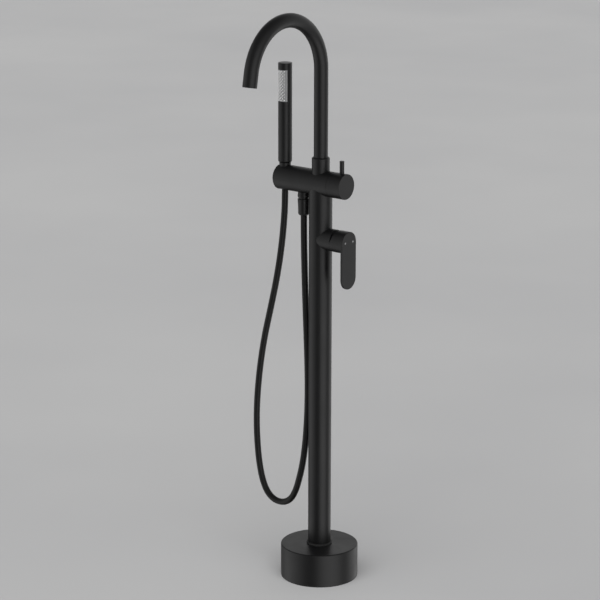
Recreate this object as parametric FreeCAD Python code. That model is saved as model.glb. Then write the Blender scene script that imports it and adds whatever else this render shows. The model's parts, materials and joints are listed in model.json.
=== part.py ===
import FreeCAD, Part
import math
import os

# Floor standing bath filler, in millimetres.
# The origin is the centre of the column on the floor, +Z is up, the spout
# reaches towards -Y, the lever and the diverter knob point towards +X, and the
# hand shower stands in its cradle towards -X.

# ---- Driving dimensions ----

BASE_RADIUS = 75.0
BASE_HEIGHT = 65.3
COVER_WALL = 1.5
COVER_TOP = 2.0
COVER_EDGE = 2.0
SEAL_HEIGHT = 1.5

FLANGE_RADIUS = 68.0
FLANGE_THICKNESS = 10.0
FLANGE_OPENING = 36.0
ANCHOR_CIRCLE = 56.0
ANCHOR_HOLE = 5.0
BLOCK_SCREW_CIRCLE = 41.0
BLOCK_BOTTOM = 2.0
BLOCK_SHOULDER_TOP = 24.0
BLOCK_TOP = 56.0
INLET_SPACING = 40.0
INLET_RADIUS = 9.32
INLET_DEPTH = 18.0

COLUMN_RADIUS = 22.1
COLUMN_WALL = 1.5
COLUMN_BOTTOM = 36.0
GRUB_HEIGHT = 47.0

RISER_RADIUS = 7.5
RISER_WALL = 1.0
RISER_OFFSET = 9.5
RISER_BOTTOM = 26.0

LEVER_Z = 677.4
LEVER_RADIUS = 21.4
HOUSING_RADIUS = 21.2
HOUSING_BORE = 17.7
HOUSING_END = 37.4
LEVER_GAP = 0.3
LEVER_TILT = 20.0
LEVER_FACE = 68.6
LEVER_THICKNESS = 3.8
LEVER_LOW = 588.0
LEVER_EDGE = 0.7
PIVOT_X = 30.0
MARK_OFFSET = 11.5
MARK_RISE = 1.2
MARK_RADIUS = 1.9

VALVE_BOTTOM = 640.0
VALVE_TOP = 716.0
VALVE_RADIUS = 19.9
SOCKET_DEPTH = 10.0

BODY_Z = 783.75
BODY_RADIUS = 24.2
BODY_LEFT = -99.1
BODY_RIGHT = 30.6
KNOB_LEFT = 31.0
KNOB_RIGHT = 61.1
KNOB_EDGE = 0.5
PIN_X = 50.4
PIN_RADIUS = 4.4
PIN_TOP = 831.9

COLLAR_RADIUS = 17.0
COLLAR_TOP = 833.0
SPIGOT_TOP = 826.0
SPIGOT_BOTTOM = 797.5
SPOUT_RADIUS = 13.4
SPOUT_WALL = 1.75
SPOUT_FOOT = 815.4
ARC_Z = 999.05
ARC_RADIUS = 101.45
ARC_TURN = 170.0
TIP_LENGTH = 25.9

CRADLE_X = -86.5
CRADLE_HOLE = 10.0
RECESS_FLOOR = 804.5
RECESS_LOW_RADIUS = 12.0
RECESS_TOP_RADIUS = 13.6
NECK_RADIUS = 11.1
NECK_BOTTOM = 804.9
HANDSET_RADIUS = 13.2
NECK_TOP = 812.4
HANDSET_SHOULDER = 815.3
HANDSET_TOP = 1003.0
CAP_SEAM = 1000.0
HANDSET_BORE = 11.1
SPRAY_LOW = 930.1
SPRAY_HIGH = 990.0
SPRAY_HALF_ANGLE = 59.0
NOZZLE_COLUMNS = 6
NOZZLE_STEP = 13.0
NOZZLE_PITCH = 6.06
NOZZLE_HOLE = 1.75
NOZZLE_REACH = 1.3

OUTLET_X = -40.4
NUT_TOP = 748.0
NUT_BOTTOM = 716.5
HOSE_RADIUS = 6.25
HOSE_TOP_OUTLET = 720.0
HOSE_TOP_HANDSET = 772.0

# Route of the shower hose in the plane y = 0, as (x, z) points from the outlet
# under the body, down round the loop and up into the cradle.
HOSE_ROUTE = [
    (OUTLET_X, HOSE_TOP_OUTLET),
    (OUTLET_X, 689.0),
    (-39.5, 645.0),
    (-38.0, 597.0),
    (-36.0, 545.0),
    (-33.0, 483.0),
    (-30.5, 422.0),
    (-29.5, 368.0),
    (-31.0, 315.0),
    (-35.0, 264.0),
    (-42.0, 218.0),
    (-51.0, 184.0),
    (-60.0, 157.0),
    (-73.0, 136.5),
    (-92.5, 126.5),
    (-114.5, 127.5),
    (-132.5, 140.0),
    (-144.5, 163.5),
    (-152.5, 196.0),
    (-157.5, 238.0),
    (-159.5, 290.0),
    (-156.5, 344.0),
    (-149.5, 400.0),
    (-138.5, 459.0),
    (-123.0, 518.0),
    (-107.5, 580.0),
    (-96.5, 638.0),
    (-89.5, 693.0),
    (CRADLE_X, 737.0),
    (CRADLE_X, HOSE_TOP_HANDSET),
]
ARC_SHARE = 0.45

UP = FreeCAD.Vector(0, 0, 1)
ALONG_X = FreeCAD.Vector(1, 0, 0)
ALONG_Y = FreeCAD.Vector(0, 1, 0)


# ---- Shape helpers ----

def vector(x, y, z):
    return FreeCAD.Vector(x, y, z)


def post(radius, low, high, x=0.0, y=0.0):
    """Upright cylinder."""
    return Part.makeCylinder(radius, high - low, vector(x, y, low), UP)


def pipe(outer, inner, low, high, x=0.0, y=0.0):
    """Upright tube."""
    return post(outer, low, high, x, y).cut(post(inner, low - 1, high + 1, x, y))


def bar(radius, left, right, z, y=0.0):
    """Cylinder along X."""
    return Part.makeCylinder(radius, right - left, vector(left, y, z), ALONG_X)


def sleeve(outer, inner, left, right, z):
    """Tube along X."""
    return bar(outer, left, right, z).cut(bar(inner, left - 1, right + 1, z))


def block(low, high):
    """Box between two corners."""
    size = [b - a for a, b in zip(low, high)]
    return Part.makeBox(size[0], size[1], size[2], vector(*low))


def turned(outline, x=0.0, y=0.0):
    """Solid of revolution about an upright axis, from (radius, z) corners."""
    corners = [vector(x + r, y, z) for r, z in outline]
    face = Part.Face(Part.makePolygon(corners + corners[:1]))
    return face.revolve(vector(x, y, 0), UP, 360)


def rim(shape, radius, centre):
    """Circular edges of the given radius round the given centre."""
    found = []
    for edge in shape.Edges:
        curve = edge.Curve
        if isinstance(curve, Part.Circle) and abs(curve.Radius - radius) < 0.01:
            if (curve.Center - centre).Length < 0.01:
                found.append(edge)
    return found


def rounded(shape, size, radius, centre):
    return shape.makeFillet(size, rim(shape, radius, centre))


def bevelled(shape, size, radius, centre):
    return shape.makeChamfer(size, rim(shape, radius, centre))


def spread(shape, count, first=0.0):
    """Copies of a shape, evenly spaced round the column."""
    copies = []
    for index in range(count):
        copy = shape.copy()
        copy.rotate(vector(0, 0, 0), UP, first + index * 360.0 / count)
        copies.append(copy)
    return copies


def cut_all(shape, tools):
    for tool in tools:
        shape = shape.cut(tool)
    return shape


def join_all(shapes):
    joined = shapes[0]
    for shape in shapes[1:]:
        joined = joined.fuse(shape)
    return joined.removeSplitter()


def hex_socket(radius, depth, top):
    """Upright hexagonal hole of the given half width, going down from its top."""
    corner = radius / math.cos(math.radians(30))
    points = []
    for index in range(6):
        angle = math.radians(60 * index)
        points.append(vector(corner * math.cos(angle), corner * math.sin(angle), top - depth))
    face = Part.Face(Part.makePolygon(points + points[:1]))
    return face.extrude(vector(0, 0, depth + 1))


def grub_screw(radius, length):
    """Set screw along +Z from its point at the origin, with its socket on top."""
    screw = bevelled(post(radius, 0, length), 0.5, radius, vector(0, 0, 0))
    return screw.cut(hex_socket(radius * 0.5, length * 0.4, length))


def placed(shape, position, direction):
    """Shape made along +Z, set down at a position and turned to a direction."""
    copy = shape.copy()
    copy.Placement = FreeCAD.Placement(position, FreeCAD.Rotation(UP, direction))
    return copy


def round_sweep(path, radius):
    """Solid of round section along a path of lines and arcs."""
    start = path.Edges[0]
    ends = (start.FirstParameter, start.LastParameter)
    point = start.valueAt(ends[0])
    circle = Part.makeCircle(radius, point, start.tangentAt(ends[0]))
    return path.makePipeShell([Part.Wire([circle])], True, False)


def sector(outer, inner, low, high, half_angle, x):
    """Part of an upright tube that faces -Y, up to half_angle each side."""
    ring = pipe(outer, inner, low, high, x)
    reach = outer * 3
    edge = math.radians(half_angle)
    corners = [
        vector(x, 0, low - 1),
        vector(x + reach * math.sin(edge), -reach * math.cos(edge), low - 1),
        vector(x, -reach * 2, low - 1),
        vector(x - reach * math.sin(edge), -reach * math.cos(edge), low - 1),
    ]
    face = Part.Face(Part.makePolygon(corners + corners[:1]))
    return ring.common(face.extrude(vector(0, 0, high - low + 2)))


# ---- Base ----

def make_base():
    cover = post(BASE_RADIUS, SEAL_HEIGHT, BASE_HEIGHT)
    cover = rounded(cover, COVER_EDGE, BASE_RADIUS, vector(0, 0, BASE_HEIGHT))
    cover = cut_all(cover, [
        post(BASE_RADIUS - COVER_WALL, 0, BASE_HEIGHT - COVER_TOP),
        post(COLUMN_RADIUS + 1.0, 0, BASE_HEIGHT + 1),
    ])
    seal = pipe(BASE_RADIUS - 0.4, BASE_RADIUS - 4.0, 0, SEAL_HEIGHT)

    inner = COLUMN_RADIUS + 0.03
    lip = COLUMN_RADIUS + 0.95
    foot_seal = turned([
        (inner, BASE_HEIGHT - COVER_TOP),
        (lip, BASE_HEIGHT - COVER_TOP),
        (lip, BASE_HEIGHT),
        (COLUMN_RADIUS + 2.6, BASE_HEIGHT),
        (COLUMN_RADIUS + 2.6, BASE_HEIGHT + 2.2),
        (COLUMN_RADIUS + 1.4, BASE_HEIGHT + 3.4),
        (inner, BASE_HEIGHT + 3.4),
    ])

    anchor = post(ANCHOR_HOLE, -1, FLANGE_THICKNESS + 1, ANCHOR_CIRCLE)
    tapped = post(3.02, -1, FLANGE_THICKNESS + 1, BLOCK_SCREW_CIRCLE)
    flange = pipe(FLANGE_RADIUS, FLANGE_OPENING, 0, FLANGE_THICKNESS)
    flange = cut_all(flange, spread(anchor, 4, 45) + spread(tapped, 4))
    return {
        "base_cover": cover,
        "base_seal_ring": seal,
        "column_foot_seal": foot_seal,
        "floor_flange": flange,
    }


def make_foot_block():
    head_seat = BLOCK_SHOULDER_TOP - 6.0
    body = join_all([
        post(FLANGE_OPENING - 0.5, BLOCK_BOTTOM, FLANGE_THICKNESS),
        post(47.0, FLANGE_THICKNESS, BLOCK_SHOULDER_TOP),
        post(28.0, BLOCK_SHOULDER_TOP, BLOCK_TOP),
    ])
    tools = [post(COLUMN_RADIUS + 0.03, COLUMN_BOTTOM, BLOCK_TOP + 1)]
    for side in (-1, 1):
        riser_y = side * RISER_OFFSET
        inlet_y = side * INLET_SPACING / 2
        tools.append(post(RISER_RADIUS + 0.05, RISER_BOTTOM, COLUMN_BOTTOM + 1, 0, riser_y))
        tools.append(post(5.5, 14.0, RISER_BOTTOM + 1, 0, riser_y))
        tools.append(post(INLET_RADIUS, BLOCK_BOTTOM - 1, BLOCK_BOTTOM + INLET_DEPTH, 0, inlet_y))
    tools += spread(post(3.1, 0, 30, BLOCK_SCREW_CIRCLE), 4)
    tools += spread(post(5.6, head_seat, 30, BLOCK_SCREW_CIRCLE), 4)
    tools += spread(bar(3.02, 20.0, 30.0, GRUB_HEIGHT), 3, 60)
    body = cut_all(body, tools)

    screw = post(3.0, 3.0, head_seat).fuse(post(5.0, head_seat, BLOCK_SHOULDER_TOP - 0.5))
    screw = screw.removeSplitter().cut(hex_socket(2.5, 3.0, BLOCK_SHOULDER_TOP - 0.5))
    screw.translate(vector(BLOCK_SCREW_CIRCLE, 0, 0))

    clamp = placed(grub_screw(3.0, 5.6), vector(COLUMN_RADIUS + 0.02, 0, GRUB_HEIGHT), ALONG_X)
    return {
        "foot_block": body,
        "foot_block_screws": Part.makeCompound(spread(screw, 4)),
        "column_grub_screws": Part.makeCompound(spread(clamp, 3, 60)),
    }


# ---- Column and the pipes inside it ----

def body_round(radius=BODY_RADIUS):
    """The outer round of the cross body, longer than the body itself."""
    return bar(radius, -130.0, 90.0, BODY_Z)


def make_column():
    column = pipe(COLUMN_RADIUS, COLUMN_RADIUS - COLUMN_WALL, COLUMN_BOTTOM, BODY_Z)
    column = cut_all(column, [body_round(), bar(HOUSING_BORE + 0.05, 5.0, 30.0, LEVER_Z)])
    riser_top = VALVE_BOTTOM + SOCKET_DEPTH
    riser_bore = RISER_RADIUS - RISER_WALL
    mixed_bottom = VALVE_TOP - SOCKET_DEPTH
    return {
        "column_tube": column,
        "hot_riser": pipe(RISER_RADIUS, riser_bore, RISER_BOTTOM, riser_top, 0, -RISER_OFFSET),
        "cold_riser": pipe(RISER_RADIUS, riser_bore, RISER_BOTTOM, riser_top, 0, RISER_OFFSET),
        "mixed_riser": pipe(RISER_RADIUS, riser_bore, mixed_bottom, BODY_Z - 14.5),
    }


# ---- Mixing valve ----

PORTS = [(-6.5, -5.0), (6.5, -5.0), (0.0, 7.0)]
PORT_RADIUS = 2.8


def port_holes(left, right, radius=PORT_RADIUS):
    """Hot, cold and mixed ports, drilled along X."""
    return [bar(radius, left, right, LEVER_Z + z, y) for y, z in PORTS]


def make_valve():
    chamber_floor = -6.0
    body = post(VALVE_RADIUS, VALVE_BOTTOM, VALVE_TOP)
    tools = [
        bar(17.6, chamber_floor, 30.0, LEVER_Z),
        block((7.0, -25.0, LEVER_Z - 18.5), (25.0, 25.0, LEVER_Z + 18.5)),
        post(RISER_RADIUS + 0.05, VALVE_TOP - SOCKET_DEPTH, VALVE_TOP + 1),
        post(4.5, LEVER_Z + 5.0, VALVE_TOP - SOCKET_DEPTH + 1, -9.5),
    ]
    for side in (-1, 1):
        y = side * RISER_OFFSET
        socket_top = VALVE_BOTTOM + SOCKET_DEPTH
        tools.append(post(RISER_RADIUS + 0.05, VALVE_BOTTOM - 1, socket_top, 0, y))
        tools.append(post(4.0, socket_top - 1, LEVER_Z - 2.0, -10.0, y))
    tools += port_holes(-11.0, chamber_floor + 1)
    body = cut_all(body, tools)

    housing = sleeve(HOUSING_RADIUS, HOUSING_BORE, 1.0, HOUSING_END, LEVER_Z)
    housing = bevelled(housing, 0.3, HOUSING_RADIUS, vector(HOUSING_END, 0, LEVER_Z))
    housing = housing.cut(post(COLUMN_RADIUS, LEVER_Z - 30, LEVER_Z + 30))

    seals = []
    for y, z in PORTS:
        ring = bar(PORT_RADIUS + 1.4, chamber_floor, -4.8, LEVER_Z + z, y)
        seals.append(ring.cut(bar(PORT_RADIUS, -7.0, -4.0, LEVER_Z + z, y)))
    return {
        "valve_body": body,
        "lever_housing": housing,
        "cartridge_port_seals": Part.makeCompound(seals),
    }


def make_cartridge():
    nose = 27.0
    shell = join_all([bar(17.5, -4.8, nose, LEVER_Z), bar(14.4, nose, 33.4, LEVER_Z)])
    tools = [bar(11.05, 2.0, nose + 0.3, LEVER_Z), bar(9.45, nose, 36.0, LEVER_Z)]
    shell = cut_all(shell, tools + port_holes(-6.0, 3.0))
    fixed_disc = cut_all(bar(10.9, 2.1, 5.1, LEVER_Z), port_holes(1.0, 6.0))
    moving_disc = bar(11.0, 5.2, 8.2, LEVER_Z)
    moving_disc = moving_disc.cut(bar(6.8, 4.0, 7.0, LEVER_Z))

    rotor = join_all([bar(11.0, 8.3, nose, LEVER_Z), bar(9.4, nose, 36.5, LEVER_Z)])
    rotor = cut_all(rotor, [
        block((20.0, -4.3, LEVER_Z - 7.5), (40.0, 4.3, LEVER_Z + 7.5)),
        Part.makeCylinder(1.52, 30.0, vector(PIVOT_X, -15.0, LEVER_Z), ALONG_Y),
    ])
    pin = Part.makeCylinder(1.5, 17.8, vector(PIVOT_X, -8.9, LEVER_Z), ALONG_Y)

    nut = sleeve(17.6, 14.5, nose, 33.5, LEVER_Z)
    for angle in (0, 90):
        slot = block((31.5, -2.0, LEVER_Z - 20), (35.0, 2.0, LEVER_Z + 20))
        slot.rotate(vector(0, 0, LEVER_Z), ALONG_X, angle)
        nut = nut.cut(slot)

    corners = [(33.5, 12.2), (33.5, 17.6), (38.2, 17.6), (44.2, 12.9), (44.2, 12.2)]
    points = [vector(x, 0, LEVER_Z + r) for x, r in corners]
    dome = Part.Arc(points[2], vector(41.8, 0, LEVER_Z + 15.45), points[3]).toShape()
    edges = [
        Part.makeLine(points[0], points[1]),
        Part.makeLine(points[1], points[2]),
        dome,
        Part.makeLine(points[3], points[4]),
        Part.makeLine(points[4], points[0]),
    ]
    cover = Part.Face(Part.Wire(edges)).revolve(vector(0, 0, LEVER_Z), ALONG_X, 360)
    return {
        "cartridge_shell": shell,
        "ceramic_disc_fixed": fixed_disc,
        "ceramic_disc_moving": moving_disc,
        "cartridge_rotor": rotor,
        "spindle_pivot_pin": pin,
        "cartridge_nut": nut,
        "cartridge_cover_ring": cover,
    }


# ---- Lever ----

def lever_plate():
    """Round-ended plate, in line with the lever hub at its top."""
    low_centre = LEVER_LOW + LEVER_RADIUS
    left = LEVER_FACE - LEVER_THICKNESS
    top_left = vector(left, -LEVER_RADIUS, LEVER_Z)
    top_right = vector(left, LEVER_RADIUS, LEVER_Z)
    low_left = vector(left, -LEVER_RADIUS, low_centre)
    low_right = vector(left, LEVER_RADIUS, low_centre)
    outline = Part.Wire([
        Part.Arc(top_left, vector(left, 0, LEVER_Z + LEVER_RADIUS), top_right).toShape(),
        Part.makeLine(top_right, low_right),
        Part.Arc(low_right, vector(left, 0, LEVER_LOW), low_left).toShape(),
        Part.makeLine(low_left, top_left),
    ])
    return Part.Face(outline).extrude(vector(LEVER_THICKNESS, 0, 0))


def behind_lever():
    """Space behind the lever hub: a thin gap, and above it a slant that lets the lever tilt."""
    reach = 40.0
    back = HOUSING_END + LEVER_GAP
    tilt = math.radians(LEVER_TILT)
    slant_low = PIVOT_X + (back - PIVOT_X) / math.cos(tilt)
    knee = (back - slant_low) / math.tan(tilt)
    slant_high = slant_low + reach * math.tan(tilt)
    corners = []
    for x, z in ((0, -reach), (back, -reach), (back, knee), (slant_high, reach), (0, reach)):
        corners.append(vector(x, -reach, LEVER_Z + z))
    face = Part.Face(Part.makePolygon(corners + corners[:1]))
    return face.extrude(vector(0, 2 * reach, 0))


def make_lever():
    boss_left = 50.0
    recess_end = 55.0
    spindle_end = 57.0
    screw_x = 52.6
    handle = join_all([bar(LEVER_RADIUS, 30.0, LEVER_FACE, LEVER_Z), lever_plate()])
    face_edges = []
    for edge in handle.Edges:
        box = edge.BoundBox
        if box.XMin > LEVER_FACE - 0.01:
            face_edges.append(edge)
    handle = handle.makeFillet(LEVER_EDGE, face_edges)
    handle = cut_all(handle, [behind_lever(), bar(18.3, 30.0, recess_end, LEVER_Z)])
    handle = join_all([handle, bar(8.0, boss_left, recess_end + 1, LEVER_Z)])
    marks = []
    tools = [
        block((boss_left - 1, -4.15, LEVER_Z - 3.55), (spindle_end + 0.3, 4.15, LEVER_Z + 3.55)),
        post(2.53, LEVER_Z - LEVER_RADIUS - 5, LEVER_Z - 3.0, screw_x),
    ]
    for side in (-1, 1):
        y = side * MARK_OFFSET
        z = LEVER_Z + MARK_RISE
        tools.append(bar(MARK_RADIUS + 0.03, LEVER_FACE - 0.8, LEVER_FACE + 1, z, y))
        marks.append(bar(MARK_RADIUS, LEVER_FACE - 0.75, LEVER_FACE + 0.08, z, y))
    handle = cut_all(handle, tools)

    spindle = block((22.0, -4.1, LEVER_Z - 3.5), (spindle_end, 4.1, LEVER_Z + 3.5))
    hole = Part.makeCylinder(1.55, 30.0, vector(PIVOT_X, -15.0, LEVER_Z), ALONG_Y)
    screw = placed(grub_screw(2.5, 16.0), vector(screw_x, 0, LEVER_Z - 3.52), vector(0, 0, -1))
    return {
        "lever_handle": handle,
        "lever_spindle": spindle.cut(hole),
        "lever_grub_screw": screw,
        "temperature_marks": Part.makeCompound(marks),
    }


# ---- Cross body and diverter ----

def make_cross_body():
    body = bar(BODY_RADIUS, BODY_LEFT, BODY_RIGHT, BODY_Z)
    body = bevelled(body, 1.6, BODY_RADIUS, vector(BODY_LEFT, 0, BODY_Z))
    crest = BODY_Z + BODY_RADIUS
    recess = Part.makeCone(RECESS_LOW_RADIUS, RECESS_TOP_RADIUS, crest - RECESS_FLOOR,
                           vector(CRADLE_X, 0, RECESS_FLOOR), UP)
    body = cut_all(body, [
        bar(13.0, -12.0, BODY_RIGHT + 1, BODY_Z),
        bar(9.0, -50.0, -11.0, BODY_Z),
        post(RISER_RADIUS + 0.05, BODY_Z - 30, BODY_Z - 14.0),
        post(6.0, BODY_Z - 15, BODY_Z),
        post(11.5, BODY_Z, crest + 1),
        post(8.05, BODY_Z - 30, BODY_Z - 12, OUTLET_X),
        post(6.0, BODY_Z - 13, BODY_Z, OUTLET_X),
        post(CRADLE_HOLE, BODY_Z - 30, crest + 1, CRADLE_X),
        recess,
    ])

    bush = turned([
        (8.65, 765.0),
        (CRADLE_HOLE - 0.05, 765.0),
        (CRADLE_HOLE - 0.05, RECESS_FLOOR - 0.2),
        (9.5, RECESS_FLOOR - 0.2),
    ], CRADLE_X)
    return {"cross_body": body, "cradle_bush": bush}


def make_diverter():
    drum_end = 8.0
    cage = bar(12.9, -12.0, 22.0, BODY_Z)
    cage = cut_all(cage, [
        bar(9.0, -13.0, drum_end + 0.2, BODY_Z),
        bar(4.07, drum_end, 23.0, BODY_Z),
        post(5.5, BODY_Z - 14, BODY_Z),
        post(7.0, BODY_Z, BODY_Z + 14),
    ])
    nut = sleeve(12.9, 5.0, 22.0, 29.9, BODY_Z)

    # At rest the drum's straight passage joins the column to the spout. Turned
    # by 90 degrees, its side passage joins the column to the hose outlet.
    drum = cut_all(bar(8.95, -7.9, drum_end, BODY_Z), [
        post(2.9, BODY_Z - 10, BODY_Z + 10, 3.4),
        Part.makeCylinder(2.9, 10.0, vector(-3.8, -10.0, BODY_Z), ALONG_Y),
        bar(2.9, -9.0, -3.8, BODY_Z),
    ])
    spindle = join_all([drum, bar(4.0, drum_end - 1, 52.0, BODY_Z)])

    screw_x = 47.6
    knob = bar(BODY_RADIUS, KNOB_LEFT, KNOB_RIGHT, BODY_Z)
    knob = rounded(knob, KNOB_EDGE, BODY_RADIUS, vector(KNOB_RIGHT, 0, BODY_Z))
    knob = cut_all(knob, [
        bar(20.0, KNOB_LEFT - 1, 44.0, BODY_Z),
        bar(4.03, 43.0, 52.3, BODY_Z),
        post(PIN_RADIUS + 0.03, 792.8, PIN_TOP, PIN_X),
        post(2.53, BODY_Z - 30, BODY_Z, screw_x),
    ])
    pin = post(PIN_RADIUS, 793.0, PIN_TOP, PIN_X)
    pin = bevelled(pin, 0.7, PIN_RADIUS, vector(PIN_X, 0, PIN_TOP))
    screw_tip = vector(screw_x, 0, BODY_Z - 4.05)
    return {
        "diverter_cartridge": cage,
        "diverter_nut": nut,
        "diverter_spindle": spindle,
        "diverter_knob": knob,
        "diverter_pin": pin,
        "diverter_grub_screw": placed(grub_screw(2.5, 17.0), screw_tip, vector(0, 0, -1)),
    }


# ---- Spout ----

def spout_path():
    """Centre line of the spout tube: up, round the arch, and down to the tip."""
    turn = math.radians(ARC_TURN)
    centre = vector(0, -ARC_RADIUS, ARC_Z)

    def on_arc(angle):
        return centre + vector(0, ARC_RADIUS * math.cos(angle), ARC_RADIUS * math.sin(angle))

    foot = vector(0, 0, SPOUT_FOOT)
    arc = Part.Arc(on_arc(0), on_arc(turn / 2), on_arc(turn))
    outward = vector(0, -math.sin(turn), math.cos(turn))
    tip = on_arc(turn) + outward * TIP_LENGTH
    path = Part.Wire([
        Part.makeLine(foot, on_arc(0)),
        arc.toShape(),
        Part.makeLine(on_arc(turn), tip),
    ])
    return path, tip, outward


def make_spout():
    path, tip, outward = spout_path()
    bore = SPOUT_RADIUS - SPOUT_WALL
    tube = round_sweep(path, SPOUT_RADIUS).cut(round_sweep(path, bore))

    ring_heights = (800.6, 805.0)
    catch_low = 808.0
    catch_high = 813.0
    spigot = turned([
        (8.0, SPIGOT_BOTTOM),
        (11.45, SPIGOT_BOTTOM),
        (11.45, SPOUT_FOOT - 0.2),
        (bore - 0.03, SPOUT_FOOT - 0.2),
        (bore - 0.03, SPIGOT_TOP),
        (8.0, SPIGOT_TOP),
    ])
    grooves = [pipe(12.0, 9.65, z - 1.2, z + 1.2) for z in ring_heights]
    spigot = cut_all(spigot, grooves + [pipe(12.0, 10.0, catch_low, catch_high)])
    rings = [Part.makeTorus(10.57, 0.85, vector(0, 0, z), UP) for z in ring_heights]

    screw_z = (catch_low + catch_high) / 2
    collar = cut_all(post(COLLAR_RADIUS, BODY_Z, COLLAR_TOP), [
        body_round(),
        post(SPOUT_RADIUS + 0.08, SPOUT_FOOT - 0.4, COLLAR_TOP + 1),
        post(11.5, BODY_Z - 1, SPOUT_FOOT),
        Part.makeCylinder(2.02, 20.0, vector(0, 5.0, screw_z), ALONG_Y),
    ])
    top = vector(0, 0, COLLAR_TOP)
    collar = bevelled(collar, 1.8, COLLAR_RADIUS, top)
    collar = bevelled(collar, 0.7, SPOUT_RADIUS + 0.08, top)
    screw = placed(grub_screw(2.0, 6.4), vector(0, 10.4, screw_z), ALONG_Y)

    housing = pipe(bore - 0.04, 9.3, 1.2, 15.0)
    insert = post(9.25, 2.0, 9.0)
    holes = []
    for ring, count in ((3.1, 6), (6.2, 12)):
        holes += spread(post(1.1, 1.0, 10.0, ring), count)
    insert = cut_all(insert, holes + [post(1.1, 1.0, 10.0)])
    inward = outward * -1
    return {
        "spout_tube": tube,
        "spout_spigot": spigot,
        "spout_o_rings": Part.makeCompound(rings),
        "spout_collar": collar,
        "spout_retaining_screw": screw,
        "aerator_housing": placed(housing, tip, inward),
        "aerator_insert": placed(insert, tip, inward),
    }


# ---- Hose outlet and hose ----

def make_outlet():
    neck = BODY_Z - BODY_RADIUS + 2.0
    nipple = turned([
        (5.5, 738.0),
        (9.9, 738.0),
        (9.9, NUT_TOP - 0.2),
        (9.5, NUT_TOP),
        (9.5, 750.6),
        (11.2, 750.6),
        (11.9, 752.2),
        (11.9, 756.0),
        (11.4, 758.5),
        (11.4, neck),
        (8.0, neck),
        (8.0, 771.5),
        (5.5, 771.5),
    ], OUTLET_X)
    nipple = nipple.cut(post(7.0, 741.0, 758.0, OUTLET_X))
    collar_part = body_round().cut(post(8.0, 700, 800, OUTLET_X))
    nipple = nipple.cut(collar_part)

    valve = pipe(6.95, 4.6, 742.0, 757.0, OUTLET_X)
    poppet = post(4.0, 745.0, 747.0, OUTLET_X).fuse(post(1.2, 747.0, 754.0, OUTLET_X))
    guide = block((OUTLET_X - 6.0, -0.8, 752.0), (OUTLET_X + 6.0, 0.8, 754.5))
    valve = join_all([valve, guide, poppet])

    shoulder = 733.5
    nut = turned([
        (6.6, NUT_BOTTOM),
        (8.8, NUT_BOTTOM),
        (11.0, NUT_BOTTOM + 2.8),
        (11.2, NUT_TOP - 14.0),
        (12.1, NUT_TOP - 0.8),
        (11.6, NUT_TOP),
        (9.95, NUT_TOP),
        (9.95, shoulder),
        (6.6, shoulder),
    ], OUTLET_X)
    ferrule = turned([
        (4.0, HOSE_TOP_OUTLET),
        (6.4, HOSE_TOP_OUTLET),
        (6.4, shoulder + 0.2),
        (9.6, shoulder + 0.2),
        (9.6, 736.0),
        (4.0, 736.0),
    ], OUTLET_X)
    return {
        "hose_outlet_nipple": nipple,
        "hose_check_valve": valve,
        "hose_outlet_nut": nut,
        "hose_outlet_ferrule": ferrule,
        "hose_outlet_washer": pipe(9.5, 5.0, 736.1, 737.9, OUTLET_X),
    }


def make_hose():
    """Tube along straight runs joined by arcs that touch both of their runs."""
    points = [vector(x, 0, z) for x, z in HOSE_ROUTE]
    edges = []
    radii = []
    start = points[0]
    for before, corner, after in zip(points, points[1:], points[2:]):
        into = corner - before
        out = after - corner
        half_turn = into.getAngle(out) / 2
        reach = ARC_SHARE * min(into.Length, out.Length)
        radius = reach / math.tan(half_turn)
        radii.append(radius)
        into.normalize()
        out.normalize()
        arc_start = corner - into * reach
        arc_end = corner + out * reach
        inward = out - into
        inward.normalize()
        middle = corner + inward * (radius / math.cos(half_turn) - radius)
        edges.append(Part.makeLine(start, arc_start))
        edges.append(Part.Arc(arc_start, middle, arc_end).toShape())
        start = arc_end
    edges.append(Part.makeLine(start, points[-1]))
    path = Part.Wire(edges)
    hose = round_sweep(path, HOSE_RADIUS)
    expected = math.pi * HOSE_RADIUS ** 2 * path.Length
    print("hose arc radii:", [round(radius) for radius in radii])
    print("hose smallest radius %.1f, length %.1f" % (min(radii), path.Length))
    print("hose volume / (section x length): %.5f" % (hose.Volume / expected))
    return {"shower_hose": hose}


# ---- Hand shower ----

def make_hose_end():
    x = CRADLE_X
    ferrule = turned([
        (4.0, HOSE_TOP_HANDSET),
        (6.3, HOSE_TOP_HANDSET),
        (6.3, 790.0),
        (6.9, 790.0),
        (6.9, 792.5),
        (4.0, 792.5),
    ], x)
    coupling = turned([
        (6.45, 776.0),
        (8.2, 776.0),
        (8.5, 776.6),
        (9.15, NECK_BOTTOM - 0.1),
        (8.2, NECK_BOTTOM - 0.1),
        (8.2, 824.0),
        (7.0, 824.0),
        (7.0, 789.9),
        (6.45, 789.9),
    ], x)
    return {
        "hose_end_ferrule": ferrule,
        "handset_coupling": coupling,
        "handset_washer": pipe(6.85, 4.2, 792.7, 795.0, x),
    }


def nozzle_places():
    """Angle from -Y and height of each spray nozzle, in staggered columns."""
    middle = (SPRAY_LOW + SPRAY_HIGH) / 2
    places = []
    for column in range(NOZZLE_COLUMNS):
        angle = (column - (NOZZLE_COLUMNS - 1) / 2) * NOZZLE_STEP
        count = 9 if column % 2 == 0 else 10
        for row in range(count):
            height = middle + (row - (count - 1) / 2) * NOZZLE_PITCH
            places.append((angle, height))
    return places


def facing(shape, angle, height):
    """Shape made along +Z, pointing out of the handset at an angle from -Y."""
    turn = math.radians(angle)
    outward = vector(math.sin(turn), -math.cos(turn), 0)
    return placed(shape, vector(CRADLE_X, 0, height), outward)


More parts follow.
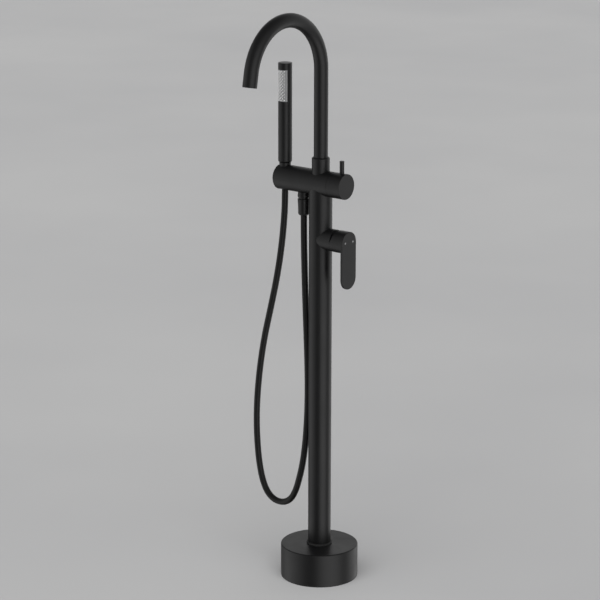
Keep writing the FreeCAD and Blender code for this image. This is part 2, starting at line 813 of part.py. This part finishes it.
def make_handset():
    x = CRADLE_X
    waist = 832.0
    inside = HANDSET_BORE
    body = turned([
        (0, NECK_BOTTOM),
        (NECK_RADIUS, NECK_BOTTOM),
        (NECK_RADIUS, NECK_TOP),
        (HANDSET_RADIUS, HANDSET_SHOULDER),
        (HANDSET_RADIUS, CAP_SEAM),
        (0, CAP_SEAM),
    ], x)
    window = sector(HANDSET_RADIUS + 2, inside, SPRAY_LOW, SPRAY_HIGH, SPRAY_HALF_ANGLE, x)
    body = cut_all(body, [
        post(8.25, NECK_BOTTOM - 1, 825.0, x),
        post(6.9, 824.0, waist + 1, x),
        post(inside, waist, CAP_SEAM + 1, x),
        window,
    ])

    cap = join_all([
        post(HANDSET_RADIUS, CAP_SEAM + 0.05, HANDSET_TOP, x),
        post(inside - 0.1, 995.0, CAP_SEAM + 0.05, x),
    ])
    cap = bevelled(cap, 0.4, HANDSET_RADIUS, vector(x, 0, HANDSET_TOP))

    waterway_top = 929.0
    waterway = turned([
        (4.5, 795.2),
        (6.8, 795.2),
        (6.8, waterway_top),
        (5.6, waterway_top),
        (5.6, 800.0),
        (4.5, 800.0),
    ], x)
    core = cut_all(post(inside - 0.1, 922.0, 994.8, x), [
        post(6.85, 921.0, 930.0, x),
        post(8.5, 930.0, 989.0, x),
        block((x - 6.0, -15.0, 934.0), (x + 6.0, 0.0, 985.0)),
    ])

    plate = sector(HANDSET_RADIUS, inside + 0.05, SPRAY_LOW + 0.2, SPRAY_HIGH - 0.2,
                   SPRAY_HALF_ANGLE - 0.4, x)
    hole = post(NOZZLE_HOLE, inside - 1, HANDSET_RADIUS + 1)
    nozzle_end = HANDSET_RADIUS + NOZZLE_REACH
    nozzle = Part.makeCone(1.35, 1.15, nozzle_end - inside - 0.1, vector(0, 0, inside + 0.1), UP)
    nozzle = nozzle.cut(post(0.45, HANDSET_RADIUS - 0.5, nozzle_end + 1))
    nozzles = []
    holes = []
    for angle, height in nozzle_places():
        nozzles.append(facing(nozzle, angle, height))
        holes.append(facing(hole, angle, height))
    plate = plate.cut(Part.makeCompound(holes))
    return {
        "handset_body": body,
        "handset_top_cap": cap,
        "handset_waterway": waterway,
        "handset_core": core,
        "spray_plate": plate,
        "spray_nozzles": Part.makeCompound(nozzles),
    }


def main():
    os.makedirs("parts", exist_ok=True)
    nodes = {}
    for make in (make_base, make_foot_block, make_column, make_valve, make_cartridge, make_lever,
                 make_cross_body, make_diverter, make_spout, make_outlet, make_hose,
                 make_hose_end, make_handset):
        nodes.update(make())
    for name, shape in sorted(nodes.items()):
        if not shape.isValid():
            print("not valid:", name)
        shape.exportStep("parts/%s.step" % name)
        box = shape.BoundBox
        print("%-24s solids %2d  volume %10.1f  z %7.1f to %7.1f"
              % (name, len(shape.Solids), shape.Volume, box.ZMin, box.ZMax))
    print("nodes:", len(nodes))


main()
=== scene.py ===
import json
import math

import bmesh
import bpy
from mathutils import Matrix, Vector


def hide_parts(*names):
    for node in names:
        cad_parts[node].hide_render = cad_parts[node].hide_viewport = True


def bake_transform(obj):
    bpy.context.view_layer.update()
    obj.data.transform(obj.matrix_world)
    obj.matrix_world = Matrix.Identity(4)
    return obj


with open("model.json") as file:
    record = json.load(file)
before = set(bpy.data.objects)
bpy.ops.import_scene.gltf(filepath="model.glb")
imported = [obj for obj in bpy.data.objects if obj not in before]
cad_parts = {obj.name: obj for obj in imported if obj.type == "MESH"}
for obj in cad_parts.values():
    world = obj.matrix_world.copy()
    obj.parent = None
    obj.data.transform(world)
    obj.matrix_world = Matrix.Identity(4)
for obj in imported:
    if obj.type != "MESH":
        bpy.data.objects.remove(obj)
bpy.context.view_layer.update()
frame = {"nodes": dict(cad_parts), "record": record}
nodes = frame["nodes"]
scene = bpy.context.scene

# ---- Camera: the photograph's viewing angle, in the row frame ----

IMAGE_SIZE = 600.0
FOCAL_PIXELS = 2339.322
SENSOR_WIDTH = 36.0
CAMERA_AZIMUTH = 38.4570
CAMERA_DISTANCE = 4.306596
CAMERA_HEIGHT = 1.699550
CAMERA_PITCH = 14.8746
CAMERA_YAW = 0.5134
CAMERA_ROLL = 0.0980
CAMERA_NEAR = 0.1
CAMERA_FAR = 200.0


def make_camera():
    """Camera that stands round from the front towards +x, looking back and down."""
    azimuth = math.radians(CAMERA_AZIMUTH)
    heading = azimuth + math.radians(CAMERA_YAW)
    pitch = math.radians(CAMERA_PITCH)
    roll = math.radians(CAMERA_ROLL)
    forward = Vector((
        -math.sin(heading) * math.cos(pitch),
        math.cos(heading) * math.cos(pitch),
        -math.sin(pitch),
    ))
    level = forward.cross(Vector((0, 0, 1))).normalized()
    upright = level.cross(forward)
    right = level * math.cos(roll) + upright * math.sin(roll)
    up = upright * math.cos(roll) - level * math.sin(roll)
    data = bpy.data.cameras.new("camera")
    data.sensor_width = SENSOR_WIDTH
    data.lens = FOCAL_PIXELS / IMAGE_SIZE * SENSOR_WIDTH
    data.clip_start = CAMERA_NEAR
    data.clip_end = CAMERA_FAR
    camera = bpy.data.objects.new("camera", data)
    camera.matrix_world = Matrix((
        (right.x, up.x, -forward.x, math.sin(azimuth) * CAMERA_DISTANCE),
        (right.y, up.y, -forward.y, -math.cos(azimuth) * CAMERA_DISTANCE),
        (right.z, up.z, -forward.z, CAMERA_HEIGHT),
        (0, 0, 0, 1),
    ))
    scene.collection.objects.link(camera)
    scene.camera = camera


make_camera()

# ---- Shower hose: from the outlet nut, down round a loop, up into the cradle ----

HOSE_DIAMETER = 0.0125
HOSE_SIDES = 32
HOSE_STEPS = 10
# Control points (x, z) of the hose's middle line, in the plane y = 0.
HOSE_ROUTE = [
    (-0.0404, 0.7200),
    (-0.0404, 0.6890),
    (-0.0395, 0.6450),
    (-0.0380, 0.5970),
    (-0.0360, 0.5450),
    (-0.0330, 0.4830),
    (-0.0305, 0.4220),
    (-0.0295, 0.3680),
    (-0.0310, 0.3150),
    (-0.0350, 0.2640),
    (-0.0420, 0.2180),
    (-0.0510, 0.1840),
    (-0.0600, 0.1570),
    (-0.0730, 0.1365),
    (-0.0925, 0.1265),
    (-0.1145, 0.1275),
    (-0.1325, 0.1400),
    (-0.1445, 0.1635),
    (-0.1525, 0.1960),
    (-0.1575, 0.2380),
    (-0.1595, 0.2900),
    (-0.1565, 0.3440),
    (-0.1495, 0.4000),
    (-0.1385, 0.4590),
    (-0.1230, 0.5180),
    (-0.1075, 0.5800),
    (-0.0965, 0.6380),
    (-0.0895, 0.6930),
    (-0.0865, 0.7370),
    (-0.0865, 0.7720),
]


def spline_points(route):
    """Points read from the smooth NURBS line that has the route as its control points."""
    curve = bpy.data.curves.new("route", "CURVE")
    curve.dimensions = "3D"
    spline = curve.splines.new("NURBS")
    spline.points.add(len(route) - 1)
    for point, (x, z) in zip(spline.points, route):
        point.co = (x, 0, z, 1)
    spline.order_u = 3
    spline.use_endpoint_u = True
    spline.resolution_u = HOSE_STEPS
    holder = bpy.data.objects.new("route", curve)
    scene.collection.objects.link(holder)
    bpy.context.view_layer.update()
    line = bpy.data.meshes.new_from_object(holder)
    points = [vertex.co.copy() for vertex in line.vertices]
    bpy.data.meshes.remove(line)
    bpy.data.objects.remove(holder)
    bpy.data.curves.remove(curve)
    return points


def tube_mesh(name, points, radius, sides):
    """Round tube along points in the plane y = 0, with both ends closed."""
    mesh = bmesh.new()
    rings = []
    last = len(points) - 1
    for index, point in enumerate(points):
        along = (points[min(index + 1, last)] - points[max(index - 1, 0)]).normalized()
        across = Vector((0, 1, 0))
        out = across.cross(along)
        ring = []
        for side in range(sides):
            angle = 2 * math.pi * side / sides
            ring.append(mesh.verts.new(
                point + (across * math.cos(angle) + out * math.sin(angle)) * radius))
        rings.append(ring)
    for low, high in zip(rings, rings[1:]):
        for side in range(sides):
            after = (side + 1) % sides
            mesh.faces.new((low[side], low[after], high[after], high[side])).smooth = True
    mesh.faces.new(list(reversed(rings[0])))
    mesh.faces.new(rings[-1])
    bmesh.ops.recalc_face_normals(mesh, faces=mesh.faces)
    data = bpy.data.meshes.new(name)
    mesh.to_mesh(data)
    mesh.free()
    return data


def make_hose():
    points = spline_points(HOSE_ROUTE)
    hose = bpy.data.objects.new(
        "hose_jacket", tube_mesh("hose_jacket", points, HOSE_DIAMETER / 2, HOSE_SIDES))
    scene.collection.objects.link(hose)
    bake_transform(hose)
    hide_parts("shower_hose")
    return hose


hose = make_hose()

# ---- Materials ----


class Maker:
    """A Principled material and short ways to add nodes to it."""

    def __init__(self, name, roughness, metallic=0.0, specular=0.5):
        self.material = bpy.data.materials.new(name)
        self.material.use_nodes = True
        self.tree = self.material.node_tree
        self.shader = self.tree.nodes["Principled BSDF"]
        self.set(self.shader, "Roughness", roughness)
        self.set(self.shader, "Metallic", metallic)
        self.set(self.shader, "Specular IOR Level", specular)
        self.place = self.tree.nodes.new("ShaderNodeTexCoord").outputs["Object"]

    def set(self, node, socket, value):
        node.inputs[socket].default_value = value

    def link(self, source, node, socket):
        self.tree.links.new(source, node.inputs[socket])

    def noise(self, scale, detail=2.0, stretch=None, distortion=0.0):
        """Cloudy noise, with about as many blotches to a metre as its scale."""
        node = self.tree.nodes.new("ShaderNodeTexNoise")
        self.set(node, "Scale", scale)
        self.set(node, "Detail", detail)
        self.set(node, "Distortion", distortion)
        source = self.place
        if stretch:
            mapping = self.tree.nodes.new("ShaderNodeMapping")
            self.set(mapping, "Scale", stretch)
            self.link(self.place, mapping, "Vector")
            source = mapping.outputs["Vector"]
        self.link(source, node, "Vector")
        return node.outputs["Fac"]

    def cells(self, scale):
        """Distance to the nearest of scattered points, about as many to a metre as the scale."""
        node = self.tree.nodes.new("ShaderNodeTexVoronoi")
        self.set(node, "Scale", scale)
        self.link(self.place, node, "Vector")
        return node.outputs["Distance"]

    def span(self, source, low, high, start=0.3, end=0.7):
        """The source's stretch from start to end, drawn out from low to high."""
        node = self.tree.nodes.new("ShaderNodeMapRange")
        self.set(node, "From Min", start)
        self.set(node, "From Max", end)
        self.set(node, "To Min", low)
        self.set(node, "To Max", high)
        self.link(source, node, "Value")
        return node.outputs["Result"]

    def colours(self, source, *stops):
        """A colour ramp from (position, (r, g, b)) stops."""
        node = self.tree.nodes.new("ShaderNodeValToRGB")
        ramp = node.color_ramp
        while len(ramp.elements) < len(stops):
            ramp.elements.new(1.0)
        for element, (position, colour) in zip(ramp.elements, stops):
            element.position = position
            element.color = (*colour, 1)
        self.link(source, node, "Fac")
        return node.outputs["Color"]

    def bumps(self, *layers):
        """Stacked bumps from (source, strength, height in metres) layers."""
        normal = None
        for source, strength, height in layers:
            node = self.tree.nodes.new("ShaderNodeBump")
            self.set(node, "Strength", strength)
            self.set(node, "Distance", height)
            self.link(source, node, "Height")
            if normal:
                self.link(normal, node, "Normal")
            normal = node.outputs["Normal"]
        self.link(normal, self.shader, "Normal")

    def finish(self, colour, roughness):
        """Give the shader its colour and roughness, and return the material."""
        self.link(colour, self.shader, "Base Color")
        self.link(roughness, self.shader, "Roughness")
        return self.material


def satin_black(name, low, high, gloss, grain):
    """Sprayed or plated black with a fine even tooth and slight patches of sheen."""
    make = Maker(name, gloss, specular=0.26)
    tooth = make.noise(grain, 3.0)
    patches = make.noise(26.0, 3.0, distortion=0.6)
    colour = make.colours(make.noise(9.0, 4.0), (0.35, low), (0.68, high))
    make.bumps((tooth, 0.16, 0.00006), (make.noise(160.0, 2.0), 0.10, 0.0001))
    return make.finish(colour, make.span(patches, gloss - 0.035, gloss + 0.04))


def hose_black():
    """Smooth extruded jacket, with faint marks drawn along it."""
    make = Maker("hose_black", 0.42, specular=0.18)
    colour = make.colours(make.noise(14.0, 3.0), (0.3, (0.0040,) * 3), (0.7, (0.0062,) * 3))
    drawn = make.noise(60.0, 3.0, stretch=(18.0, 18.0, 0.8))
    make.bumps((drawn, 0.12, 0.00012), (make.noise(900.0), 0.10, 0.00005))
    return make.finish(colour, make.span(make.noise(30.0, 3.0), 0.38, 0.47))


def rubber(name, low, high):
    """Matt rubber with a fine tooth and slight patches of sheen."""
    make = Maker(name, 0.7, specular=0.35)
    colour = make.colours(make.noise(60.0, 4.0), (0.3, low), (0.7, high))
    make.bumps((make.noise(1400.0), 0.3, 0.00008))
    return make.finish(colour, make.span(make.noise(90.0), 0.62, 0.78))


def plastic(name, low, high, gloss):
    """Moulded plastic with a fine texture, duller in patches."""
    make = Maker(name, gloss, specular=0.45)
    colour = make.colours(make.noise(45.0, 3.0), (0.3, low), (0.7, high))
    make.bumps((make.noise(1100.0, 2.0), 0.14, 0.00006), (make.cells(420.0), 0.05, 0.00005))
    return make.finish(colour, make.span(make.noise(70.0), gloss - 0.05, gloss + 0.06))


def turned_metal(name, low, high, gloss, stretch):
    """Machined metal, with fine tool marks that run across the stretch."""
    make = Maker(name, gloss, metallic=1.0)
    marks = make.noise(420.0, 3.0, stretch=stretch)
    colour = make.colours(make.noise(30.0, 5.0), (0.3, low), (0.7, high))
    make.bumps((marks, 0.22, 0.00008), (make.noise(220.0), 0.08, 0.0001))
    return make.finish(colour, make.span(marks, gloss - 0.07, gloss + 0.08))


def zinc():
    """Zinc plate, whose crystals differ slightly in shade."""
    make = Maker("zinc_plate", 0.4, metallic=1.0)
    crystals = make.cells(160.0)
    colour = make.colours(crystals, (0.1, (0.50, 0.51, 0.53)), (0.8, (0.63, 0.64, 0.65)))
    make.bumps((crystals, 0.12, 0.0001), (make.noise(700.0), 0.1, 0.00005))
    return make.finish(colour, make.span(make.noise(80.0, 4.0), 0.32, 0.5))


# Stretch that lays tool marks level, round an upright piece.
LEVEL_MARKS = (1.0, 1.0, 14.0)
MATERIALS = {
    "black_finish": satin_black(
        "satin_black", (0.0038, 0.0038, 0.0040), (0.0054, 0.0054, 0.0056), 0.40, 1500.0),
    "black_hose": hose_black(),
    "black_plastic": plastic("black_plastic", (0.010,) * 3, (0.015,) * 3, 0.48),
    "black_rubber": rubber("black_rubber", (0.008,) * 3, (0.014,) * 3),
    "brass": turned_metal("brass", (0.62, 0.44, 0.19), (0.74, 0.55, 0.27), 0.3, LEVEL_MARKS),
    "zinc_steel": zinc(),
    "stainless": turned_metal(
        "stainless", (0.56, 0.56, 0.57), (0.66, 0.66, 0.67), 0.3, LEVEL_MARKS),
    "cartridge_plastic": plastic(
        "cartridge_plastic", (0.60, 0.61, 0.58), (0.70, 0.71, 0.68), 0.4),
    "ceramic": plastic("ceramic", (0.74, 0.74, 0.70), (0.80, 0.80, 0.77), 0.2),
    "spray_grey": plastic("spray_grey", (0.20, 0.202, 0.205), (0.25, 0.252, 0.255), 0.5),
    "nozzle_grey": rubber("nozzle_grey", (0.78, 0.78, 0.78), (0.84, 0.84, 0.84)),
    "mark_grey": plastic("mark_grey", (0.22, 0.22, 0.225), (0.28, 0.28, 0.285), 0.45),
}


def dress(piece, material):
    """Give the piece this one material."""
    piece.data.materials.clear()
    piece.data.materials.append(material)


for part in frame["record"]["subparts"]:
    dress(nodes[part["node"]], MATERIALS[part["material_slot"]])
dress(hose, MATERIALS["black_hose"])

# ---- Studio: pale floor, a light overhead and wide soft panels standing round ----

FLOOR_SIZE = 60.0
OVERHEAD_LEVEL = 2.5
OVERHEAD_SPREAD = 70.0
OVERHEAD_AZIMUTH = -10.0
OVERHEAD_DROP = 1.5
# Strength by height on the sphere of directions, from straight down to straight up.
PANEL_FADE = (
    (-1.0, 0.35), (-0.75, 0.8), (-0.5, 1.25), (-0.35, 1.0), (-0.15, 0.95),
    (0.1, 0.8), (0.41, 0.5), (0.7, 0.2), (0.87, 0.0),
)
BACK_FADE = ((-0.1, 0.0), (0.12, 0.85), (0.41, 0.5), (0.7, 0.2), (0.87, 0.0))
BACKGROUND_FADE = (
    (-1.0, 0.2), (-0.6, 0.22), (0.0, 0.26), (0.26, 0.24), (0.7, 0.15), (1.0, 0.1),
)
FADE_TOP = 1.5
# Each panel: azimuth of its middle round from the camera, half width, level, fade.
PANELS = (
    (34.0, 46.0, 2.0, PANEL_FADE),
    (-88.0, 50.0, 1.0, PANEL_FADE),
    (121.0, 42.0, 0.92, PANEL_FADE),
    (172.0, 45.0, 0.8, BACK_FADE),
)


def make_floor():
    """Pale floor, which glossy surfaces don't mirror."""
    mesh = bmesh.new()
    bmesh.ops.create_grid(mesh, x_segments=1, y_segments=1, size=FLOOR_SIZE / 2)
    data = bpy.data.meshes.new("floor")
    mesh.to_mesh(data)
    mesh.free()
    floor = bpy.data.objects.new("floor", data)
    scene.collection.objects.link(floor)
    make = Maker("floor_grey", 0.8, specular=0.2)
    colour = make.colours(make.noise(0.8, 3.0), (0.3, (0.42, 0.42, 0.425)), (0.7, (0.46,) * 3))
    dress(floor, make.finish(colour, make.span(make.noise(2.0), 0.78, 0.86)))
    floor.visible_glossy = False


def make_overhead():
    """Wide soft light from above the camera, which glossy surfaces don't mirror."""
    data = bpy.data.lights.new("overhead", "SUN")
    data.energy = OVERHEAD_LEVEL
    data.angle = math.radians(OVERHEAD_SPREAD)
    lamp = bpy.data.objects.new("overhead", data)
    turn = math.radians(CAMERA_AZIMUTH + OVERHEAD_AZIMUTH)
    from_lamp = Vector((-math.sin(turn), math.cos(turn), -OVERHEAD_DROP))
    lamp.rotation_mode = "QUATERNION"
    lamp.rotation_quaternion = from_lamp.to_track_quat("-Z", "Y")
    lamp.visible_glossy = False
    scene.collection.objects.link(lamp)


def make_panels():
    """The world: an even dim background with broad soft-edged panels standing round it."""
    world = bpy.data.worlds.new("studio")
    world.use_nodes = True
    tree = world.node_tree

    def add(kind, **settings):
        node = tree.nodes.new(kind)
        for name, value in settings.items():
            setattr(node, name, value)
        return node

    def calculate(operation, first, second):
        node = add("ShaderNodeMath", operation=operation)
        for socket, value in zip(node.inputs, (first, second)):
            if isinstance(value, float):
                socket.default_value = value
            else:
                tree.links.new(value, socket)
        return node.outputs["Value"]

    def fade(height, stops):
        """Level by height (-1 to 1), from a ramp whose full brightness stands for FADE_TOP."""
        upward = calculate("MULTIPLY_ADD", height, 0.5)
        upward.node.inputs[2].default_value = 0.5
        ramp = add("ShaderNodeValToRGB")
        elements = ramp.color_ramp.elements
        while len(elements) < len(stops):
            elements.new(1.0)
        for element, (place, level) in zip(elements, stops):
            element.position = place / 2 + 0.5
            element.color = (level / FADE_TOP,) * 3 + (1,)
        tree.links.new(upward, ramp.inputs["Fac"])
        return calculate("MULTIPLY", ramp.outputs["Color"], FADE_TOP)

    direction = add("ShaderNodeTexCoord").outputs["Generated"]
    split = add("ShaderNodeSeparateXYZ")
    tree.links.new(direction, split.inputs["Vector"])
    flat = add("ShaderNodeCombineXYZ")
    tree.links.new(split.outputs["X"], flat.inputs["X"])
    tree.links.new(split.outputs["Y"], flat.inputs["Y"])
    round_about = add("ShaderNodeVectorMath", operation="NORMALIZE")
    tree.links.new(flat.outputs["Vector"], round_about.inputs[0])

    total = fade(split.outputs["Z"], BACKGROUND_FADE)
    for azimuth, half_width, level, stops in PANELS:
        turn = math.radians(CAMERA_AZIMUTH + azimuth)
        facing = add("ShaderNodeVectorMath", operation="DOT_PRODUCT")
        tree.links.new(round_about.outputs["Vector"], facing.inputs[0])
        facing.inputs[1].default_value = (math.sin(turn), -math.cos(turn), 0)
        edge = add("ShaderNodeMapRange", interpolation_type="SMOOTHSTEP")
        edge.inputs["From Min"].default_value = math.cos(math.radians(half_width))
        edge.inputs["From Max"].default_value = 1.0
        edge.inputs["To Max"].default_value = level
        tree.links.new(facing.outputs["Value"], edge.inputs["Value"])
        panel = calculate("MULTIPLY", edge.outputs["Result"], fade(split.outputs["Z"], stops))
        total = calculate("ADD", total, panel)
    tree.links.new(total, tree.nodes["Background"].inputs["Color"])
    scene.world = world


make_floor()
make_panels()
make_overhead()

scene.view_settings.view_transform = "Standard"
